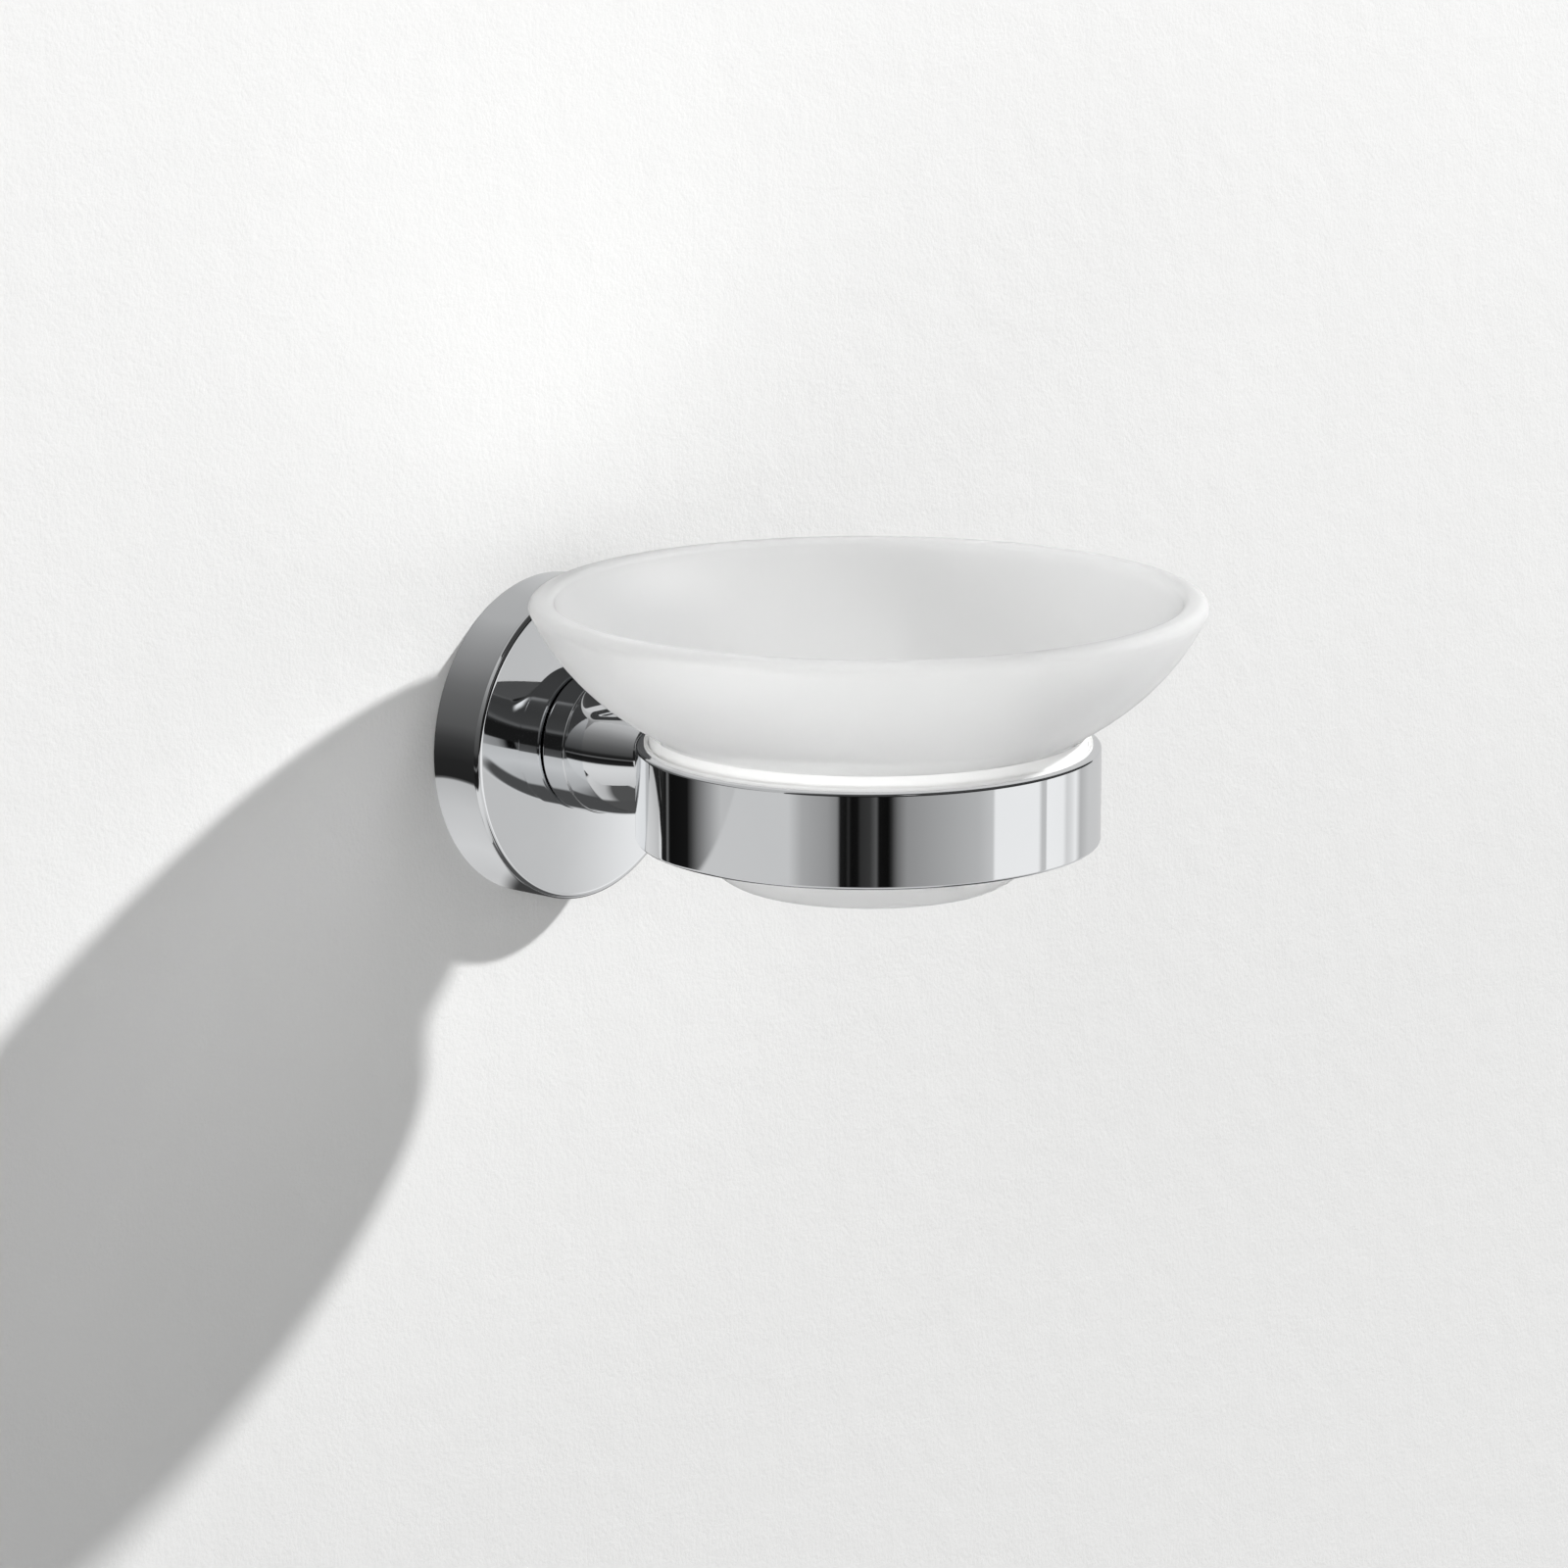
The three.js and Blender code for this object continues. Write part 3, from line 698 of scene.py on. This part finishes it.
# %% Mix the white plastic
plastic, paint = new_finish("white_moulded_plastic")
place = on_piece(paint)
flow = noise(paint, place, 5, detail=2)
pores = noise(paint, place, 0.4, detail=2)
close_finish(paint, skin(
    paint,
    Base_Color=tint(paint, flow, (0.93, 0.93, 0.92), (0.96, 0.96, 0.955)),
    Roughness=0.28 + flow * 0.12,
    IOR=1.46,
    Normal=bumps(paint, pores, 0.01, 0.3),
))
print("white plastic:", len(plastic.node_tree.nodes), "nodes")

# %% [markdown]
# The hidden pieces have working finishes. The bracket is a raw zinc casting: dull, uneven in tone and
# slightly pitted, because nobody polishes what the flange covers. Carved pits would cost many faces. A bump
# shades them as well, and leaves the shape as it is.

# %% Mix the raw zinc
zinc, paint = new_finish("raw_zinc_casting")
place = on_piece(paint)
pits = noise(paint, place, 0.7, detail=5, roughness=0.65)
flow = noise(paint, place, 11, detail=3)
close_finish(paint, skin(
    paint,
    Metallic=0.85,
    Base_Color=tint(paint, flow, (0.42, 0.43, 0.44), (0.6, 0.61, 0.62)),
    Roughness=0.38 + flow * 0.2 + pits * 0.1,
    Normal=bumps(paint, pits, 0.12, 0.7),
))
print("zinc:", len(zinc.node_tree.nodes), "nodes")

# %% [markdown]
# The screws, the washer and the pin are steel with a thin zinc plate, which shimmers between blue and straw.
# Turning leaves fine lines. They are the same cloudy noise as elsewhere, drawn out along one axis, which
# does for pieces this small.

# %% Mix the plated steel
steel, paint = new_finish("zinc_plated_steel")
place = on_piece(paint)
shimmer = noise(paint, place, 3.5, detail=2)
marks = noise(paint, drawn_out(paint, place, (1, 0.15, 1)), 0.25, detail=4)
close_finish(paint, skin(
    paint,
    Metallic=1.0,
    Base_Color=tint(paint, shimmer, (0.62, 0.66, 0.74), (0.78, 0.76, 0.68)),
    Roughness=0.2 + marks * 0.2,
    Normal=bumps(paint, marks, 0.02, 0.4),
))
print("steel:", len(steel.node_tree.nodes), "nodes")

# %% [markdown]
# The wall plugs are grey nylon, a soft plastic with a waxy skin. One flat grey would look like clay, so
# two near greys run into each other in small patches.

# %% Mix the grey nylon
nylon, paint = new_finish("grey_moulded_nylon")
place = on_piece(paint)
mottle = noise(paint, place, 2.2, detail=4)
grain = noise(paint, place, 0.3, detail=2)
close_finish(paint, skin(
    paint,
    Base_Color=tint(paint, mottle, (0.34, 0.355, 0.365), (0.41, 0.425, 0.435)),
    Roughness=0.5 + mottle * 0.12,
    IOR=1.53,
    Normal=bumps(paint, grain, 0.04, 0.5),
))
print("nylon:", len(nylon.node_tree.nodes), "nodes")

# %% [markdown]
# Each piece gets its finish. The screws, plugs, pin, washer and bracket keep the frame's own shapes, which
# are exact already, and only their finish and shading change. The glass, the liner and the hoop are kept out
# of the other pieces' reflections, so that the flange and the arm show the cards alone.

# %% Give every piece its finish
for piece, finish in ((flange, chrome), (hoop, chrome), (arm, chrome), (glass, frosting), (liner, plastic)):
    piece.data.materials.clear()
    piece.data.materials.append(finish)

finish_of_slot = {"chrome": chrome, "frosted_glass": frosting, "white_plastic": plastic,
                  "cast_zinc": zinc, "steel": steel, "nylon": nylon}
for part in frame["record"]["subparts"]:
    node = frame["nodes"][part["node"]]
    for holder in node.material_slots:
        holder.material = finish_of_slot[part["material_slot"]]
    node.data.set_sharp_from_angle(angle=CLEAR_ANGLE)
for piece in (glass, liner, hoop):
    piece.visible_glossy = False
print("kept pieces:", sum(not node.hide_render for node in frame["nodes"].values()))

# %% [markdown]
# Chrome shows the room around it, so the room is part of the picture. What the metal mirrors is laid out
# like a photographer's cards, in greys. Only mirror rays see the cards, so the light on the object stays
# plain. A card here is a cover, which is 1 where the card lies, and a grey that is laid over what is there.

# %% Name the nodes for cards
DEGREES = math.degrees(1)


def only(paint, ray):
    """1 for one kind of ray and 0 for the others."""
    return paint.node("LightPath", output=f"Is {ray} Ray")


def greys(paint, value, low, high, stops):
    """Greys along a value, with stops at shares of the way from low to high."""
    return paint.node("ValToRGB", {"stops": stops}, {"Fac": (value - low) * (1 / (high - low))})


def between(paint, value, low, high):
    """0 below a value, 1 above another, and a smooth change between them."""
    sockets = {"Value": value, "From Min": low, "From Max": high}
    return paint.node("MapRange", {"interpolation_type": "SMOOTHSTEP"}, sockets)


def patch(paint, value, low, high, soft):
    """1 between two values and 0 outside them, with soft ends."""
    over_low = between(paint, value, low - soft, low + soft)
    return over_low * (1 - between(paint, value, high - soft, high + soft))


def lay(under, cover, grey):
    """Lays a grey card over what is there, where a cover is 1."""
    return under.node("Mix", {"data_type": "FLOAT"}, {0: cover, 2: under, 3: grey})


print(f"angles come in radians, {DEGREES:.2f} degrees each")

# %% [markdown]
# The room's cards go by direction, as a bearing and a height in degrees. The level arm mirrors their
# heights: a bright floor, a dark band, a dim sky, and one tilted card high on the left, which becomes the
# small flame of light on its side. The upright hoop mirrors only a belt just below the level, so the
# belt's greys become its upright stripes, and the flange's flat face mirrors one spot of that belt.

# %% Lay the room's cards
FLOOR_TO_SKY = (  # from 60 degrees below the level to straight up
    (0, 0.09), (0.08, 0.5), (0.2, 0.69), (0.285, 0.62), (0.303, 0.03), (0.345, 0.012), (0.455, 0.012),
    (0.47, 0.03), (0.485, 0.13), (0.51, 0.06), (0.6, 0.05), (0.8, 0.06), (1, 0.1),
)
BELT = (  # from the wall on the left to the wall on the right
    (0, 0.62), (0.04, 0.42), (0.11, 0.33), (0.136, 0.24), (0.144, 0.012), (0.16, 0.006), (0.167, 0.03),
    (0.173, 0.004), (0.192, 0.006), (0.2, 0.03), (0.225, 0.04), (0.243, 0.11), (0.248, 0.006), (0.276, 0.004),
    (0.284, 0.03), (0.3, 0.16), (0.325, 0.3), (0.4, 0.38), (0.53, 0.5), (0.575, 0.6), (0.583, 0.92),
    (0.735, 0.93), (0.75, 0.57), (0.7667, 0.57), (0.769, 0.95), (0.842, 0.93), (0.862, 0.7), (0.88, 0.75),
    (0.91, 0.92), (0.94, 0.5), (1, 0.62),
)
BRIGHT, PALE, DARK = 1.0, 0.62, 0.085


def room_cards(paint, bearing, height):
    """The grey that lies in each direction from the object, in front of the wall."""
    seen = greys(paint, height, -60, 90, FLOOR_TO_SKY)
    tilted = height - (bearing + 35) * 0.85
    flame = patch(paint, bearing, -33, -23, 3) * patch(paint, tilted, 26, 33.5, 2.5)
    low_right = patch(paint, bearing, -8, 60, 4) * (1 - between(paint, height, -34, -26))
    seen = lay(lay(seen, flame, BRIGHT), low_right, DARK)
    return lay(seen, patch(paint, height, -17, -8, 0.7), greys(paint, bearing, -90, 90, BELT))


print("stops:", len(FLOOR_TO_SKY), "by height,", len(BELT), "in the belt")

# %% [markdown]
# The sky carries those cards for mirror rays. Other rays find an even light that is stronger from below, as
# over a pale washstand, and the camera finds a plain light backdrop, straight or through the glass. The
# kinds of ray are told apart with the Light Path node, so that no big cards have to stand about.

# %% Build the sky
LIGHT_BELOW, LIGHT_ABOVE, BACKDROP = 0.47, 0.13, 0.9

world = bpy.data.worlds.new("studio")
bpy.context.scene.world = world
world.use_nodes = True
world.node_tree.nodes.clear()
room = Blend(world.node_tree)
x, y, z = parts(room, room.node("TexCoord", output="Generated"))
bearing, height = room.math("ARCTAN2", x, 0 - y) * DEGREES, room.math("ARCSINE", z) * DEGREES
even = LIGHT_BELOW + between(room, height, 0, 40) * (LIGHT_ABOVE - LIGHT_BELOW)
seen = lay(even, room.math("MAXIMUM", only(room, "Camera"), only(room, "Transmission")), BACKDROP)
seen = lay(seen, only(room, "Glossy"), room_cards(room, bearing, height))
room.node("OutputWorld", None, {"Surface": room.node("Background", None, {"Color": seen})})
print("sky:", len(world.node_tree.nodes), "nodes")

# %% [markdown]
# The pieces mirror the wall too, and what they see there is a painted reflection: greys that only mirror
# rays find, in place of the lit plaster and its shadow. They go by place, in millimetres from the flange's
# centre. Away from the flange they are greys by height, with stripes on the left and pale and dark patches
# beside them. Close to the flange, whose side mirrors the wall next to it, the greys go round it by the turn
# from straight left, and they lean as they go outwards, like the shadow.

# %% Paint the wall's reflection
WALL_HEIGHTS = (  # from 70 mm below the centre to 60 mm above it
    (0, 0.09), (0.06, 0.09), (0.15, 0.5), (0.31, 0.69), (0.335, 0.55), (0.37, 0.12), (0.4, 0.035),
    (0.445, 0.01), (0.5, 0.01), (0.525, 0.15), (0.56, 0.16), (0.6, 0.09), (0.645, 0.11), (0.69, 0.15),
    (0.745, 0.21), (0.81, 0.31), (0.88, 0.45), (1, 0.5),
)
STRIPES = (  # from 130 mm to 40 mm left of the centre
    (0, 0.55), (0.15, 0.45), (0.33, 0.3), (0.48, 0.16), (0.58, 0.05), (0.64, 0.008), (0.88, 0.005),
    (0.91, 0.15), (0.93, 0.01), (1, 0.02),
)
ROUND_FLANGE = (  # from straight above the flange, over its left, to straight below it
    (0, 0.6), (0.1, 0.48), (0.19, 0.46), (0.235, 0.37), (0.28, 0.29), (0.3, 0.26), (0.345, 0.17),
    (0.37, 0.14), (0.43, 0.1), (0.456, 0.052), (0.478, 0.032), (0.5, 0.021), (0.538, 0.018), (0.543, 0.52),
    (0.6, 0.62), (0.7, 0.7), (0.8, 0.62), (1, 0.58),
)
LEAN, LEAN_PER_DEGREE, LEAN_BEND = 0.39, 0.0237, 0.0005
WEDGE_LEAN, WEDGE_GREY = 0.68, 0.05


def painted_wall_reflection(paint, x, z):
    """The painted reflection: the grey that mirror rays meet at each place of the wall, in place of the lit
    plaster.
    """
    low_left = (1 - between(paint, x, -105, -85)) * (1 - between(paint, z, -12, -6))
    # Painted dark reflection: a dark patch below the flange's right, for the flange's lower side to mirror.
    low_right = patch(paint, x, -9, 60, 3) * (1 - between(paint, z, -34, -28))
    seen = lay(greys(paint, z, -70, 60, WALL_HEIGHTS), low_left, PALE)
    seen = lay(seen, patch(paint, z, -27, -4, 1), greys(paint, x, -130, -40, STRIPES))
    seen = lay(lay(seen, between(paint, x, 20, 40), PALE), low_right, DARK)
    reach = paint.math("SQRT", x * x + z * z)
    outward = reach - flange_radius
    turn = paint.math("ARCTAN2", 0 - z, 0 - x) * DEGREES
    below = paint.math("MAXIMUM", turn - 20, 0)
    lean = LEAN + turn * LEAN_PER_DEGREE + below * below * LEAN_BEND
    around = greys(paint, turn - outward * lean, -90, 90, ROUND_FLANGE)
    around = lay(around, between(paint, turn + outward * WEDGE_LEAN, 64, 76), WEDGE_GREY)
    return lay(seen, 1 - between(paint, reach, 42, 45), around)


print("stops round the flange:", len(ROUND_FLANGE))

# %% [markdown]
# Plaster is white, a little uneven, with a very fine tooth that the low light picks up. Its colour is painted
# lighter towards the top and a touch towards the left, a painted fall-off of light, over soft patches of its
# own unevenness. Mirror rays find a painted reflection on it in place of the lit plaster. Seen from behind,
# the wall is left out, so that the back of the object shows.

# %% Mix the plaster
def blend_skins(paint, share, first, second):
    """One shader where a share is 0, and another where it is 1."""
    return paint.node("MixShader", None, {0: share, 1: first, 2: second})


plaster, paint = new_finish("white_plaster")
place = on_piece(paint)
cloud = noise(paint, place, 60, detail=4)
tooth = noise(paint, place, 0.9, detail=4, roughness=0.6)
waves = noise(paint, place, 7, detail=4)
x, _, z = parts(paint, paint.node("VectorMath", {"operation": "SCALE"}, {0: place, "Scale": 1 / MM}))
# Painted light: the colour gets lighter upwards and to the left for an uneven fall of light; the cloud is the
# plaster's own unevenness.
plaster_tone_and_painted_light = 0.32 + z * 0.0035 - x * 0.0007 + cloud * 0.3
wall_skin = skin(
    paint,
    Base_Color=tint(paint, plaster_tone_and_painted_light, (0.74, 0.74, 0.734), (0.84, 0.84, 0.834)),
    Roughness=0.85,
    Normal=bumps(paint, tooth * 0.5 + waves, 0.25, 0.9),
)
# Painted reflection: mirror rays see these greys instead of the plaster's real light and shadow.
painted_reflection_skin = paint.node("Emission", None, {"Color": painted_wall_reflection(paint, x, z)})
front = blend_skins(paint, only(paint, "Glossy"), wall_skin, painted_reflection_skin)
from_behind = paint.node("NewGeometry", output="Backfacing")
close_finish(paint, blend_skins(paint, from_behind, front, paint.node("BsdfTransparent")))
print("plaster:", len(plaster.node_tree.nodes), "nodes")

# %% [markdown]
# The wall is one sheet, a hair behind the flange's back edge. It has a hole there for the plugs. A Boolean
# could cut it, but a ring of faces between two circles of points is simpler.

# %% Put up the wall
WALL_HOLE = 26
WALL_SIZE = 3000
WALL_GAP = 0.05
WALL_STEPS = 96


def stand_sheet(name, points, faces, finish):
    """A flat thing of the studio, from points in millimetres."""
    mesh = bpy.data.meshes.new(name)
    mesh.from_pydata([[value * MM for value in point] for point in points], [], faces)
    mesh.materials.append(finish)
    return add_object(name, mesh)


spokes = [math.tau * i / WALL_STEPS for i in range(WALL_STEPS)]
wall_points = [(r * math.cos(a), WALL_GAP, r * math.sin(a)) for r in (WALL_HOLE, WALL_SIZE) for a in spokes]
neighbours = [((i - 1) % WALL_STEPS, i) for i in range(WALL_STEPS)]
wall_faces = [(a, a + WALL_STEPS, b + WALL_STEPS, b) for a, b in neighbours]
wall = stand_sheet("wall", wall_points, wall_faces, plaster)
print("wall faces", tuple(round(v, 2) for v in wall.data.polygons[0].normal))

# %% [markdown]
# A pale floor lies far below, for views from above. It gives the object neither light nor reflections. For
# the camera it is mostly the backdrop's own grey, so that no edge shows where it ends.

# %% Lay the floor
FLOOR_DROP = 1300
FLOOR_DEPTH = 2 * WALL_SIZE
BACKDROP_SHARE = 0.8

stone, paint = new_finish("pale_floor")
mottle = noise(paint, on_piece(paint), 90, detail=4)
pale = tint(paint, mottle, (0.82, 0.82, 0.81), (0.86, 0.86, 0.85))
floor_skin = skin(paint, Base_Color=pale, Roughness=0.7)
backdrop_skin = paint.node("Emission", None, {"Color": (BACKDROP, BACKDROP, BACKDROP, 1)})
close_finish(paint, blend_skins(paint, only(paint, "Camera") * BACKDROP_SHARE, floor_skin, backdrop_skin))
floor_points = [(-WALL_SIZE, -FLOOR_DEPTH, 0), (WALL_SIZE, -FLOOR_DEPTH, 0),
                (WALL_SIZE, 0, 0), (-WALL_SIZE, 0, 0)]
floor = stand_sheet("floor", floor_points, [(0, 1, 2, 3)], stone)
floor.location.z = -FLOOR_DROP * MM
floor.visible_glossy = floor.visible_diffuse = False
print("floor:", FLOOR_DROP, "mm below the arm")

# %% [markdown]
# One more card stands close to the arm on its left, so that the bands of light run on over the arm's nose.
# Its greys go by height, and only mirror rays see it.

# %% Stand a card beside the arm
NOSE_HEIGHTS = (  # from 40 mm below the arm's axis to 40 mm above it
    (0, 0.62), (0.3, 0.75), (0.36, 0.72), (0.378, 0.02), (0.42, 0.01), (0.44, 0.012), (0.45, 0.16),
    (0.462, 0.012), (0.49, 0.02), (0.51, 0.06), (0.6, 0.12), (0.7, 0.22), (0.86, 0.45), (1, 0.55),
)
CARD_SIDE, CARD_FRONT, CARD_BACK, CARD_TOP = -38, -28, -0.5, 45

card_finish, paint = new_finish("banded_card")
height = parts(paint, on_piece(paint))[2] * (1 / MM)
close_finish(paint, paint.node("Emission", None, {"Color": greys(paint, height, -40, 40, NOSE_HEIGHTS)}))
card_points = [(CARD_SIDE, CARD_FRONT, -CARD_TOP), (CARD_SIDE, CARD_BACK, -CARD_TOP),
               (CARD_SIDE, CARD_BACK, CARD_TOP), (CARD_SIDE, CARD_FRONT, CARD_TOP)]
card = stand_sheet("arm_card", card_points, [(0, 1, 2, 3)], card_finish)
card.visible_camera = card.visible_diffuse = card.visible_transmission = card.visible_shadow = False
print("card:", -CARD_SIDE, "mm left of the arm's axis")

# %% [markdown]
# One lamp stands at the right, a little in front of the wall and above the object. Its light rakes across
# the plaster and throws the long shadow to the lower left. A wide, weak lamp fills in from the left, and the
# rest is the even light of the room. Frosted glass and white plastic also glow with the light that wanders
# about inside them, more than the shader shows. Three soft lamps stand for that glow: light linking lets
# each of them reach one piece and nothing else.

# %% Hang the lamps
GLOW_DISTANCE, GLOW_SIZE = 1000, 1400


def hang(name, bearing, height, distance, size, power):
    """A round lamp that shines on the middle of the hoop. Sizes are in millimetres, its power is in watts."""
    light = bpy.data.lights.new(name, "AREA")
    light.shape, light.size, light.energy = "DISK", size * MM, power
    lamp = add_object(name, light)
    aim(lamp, bearing, height, distance, Vector((0, hoop_centre, 0)))
    lamp.visible_camera = lamp.visible_glossy = False
    print(name, "at", tuple(round(v, 2) for v in lamp.location))
    return lamp


hang("raking_lamp", bearing=52.6, height=33.8, distance=4000, size=200, power=193)
hang("side_fill", bearing=-68, height=2, distance=2000, size=2400, power=17)
GLOWS = (  # name, piece, bearing, height and watts
    ("liner_light", liner, -50, 4, 4),
    ("bowl_light_below", glass, 0, -20, 7),
    ("bowl_light_above", glass, 20, 60, 5.6),
)
for name, piece, bearing, height, power in GLOWS:
    lamp = hang(name, bearing, height, GLOW_DISTANCE, GLOW_SIZE, power)
    lamp.light_linking.receiver_collection = bpy.data.collections.new(name)
    lamp.light_linking.receiver_collection.objects.link(piece)
bpy.context.scene.view_settings.view_transform = "Standard"
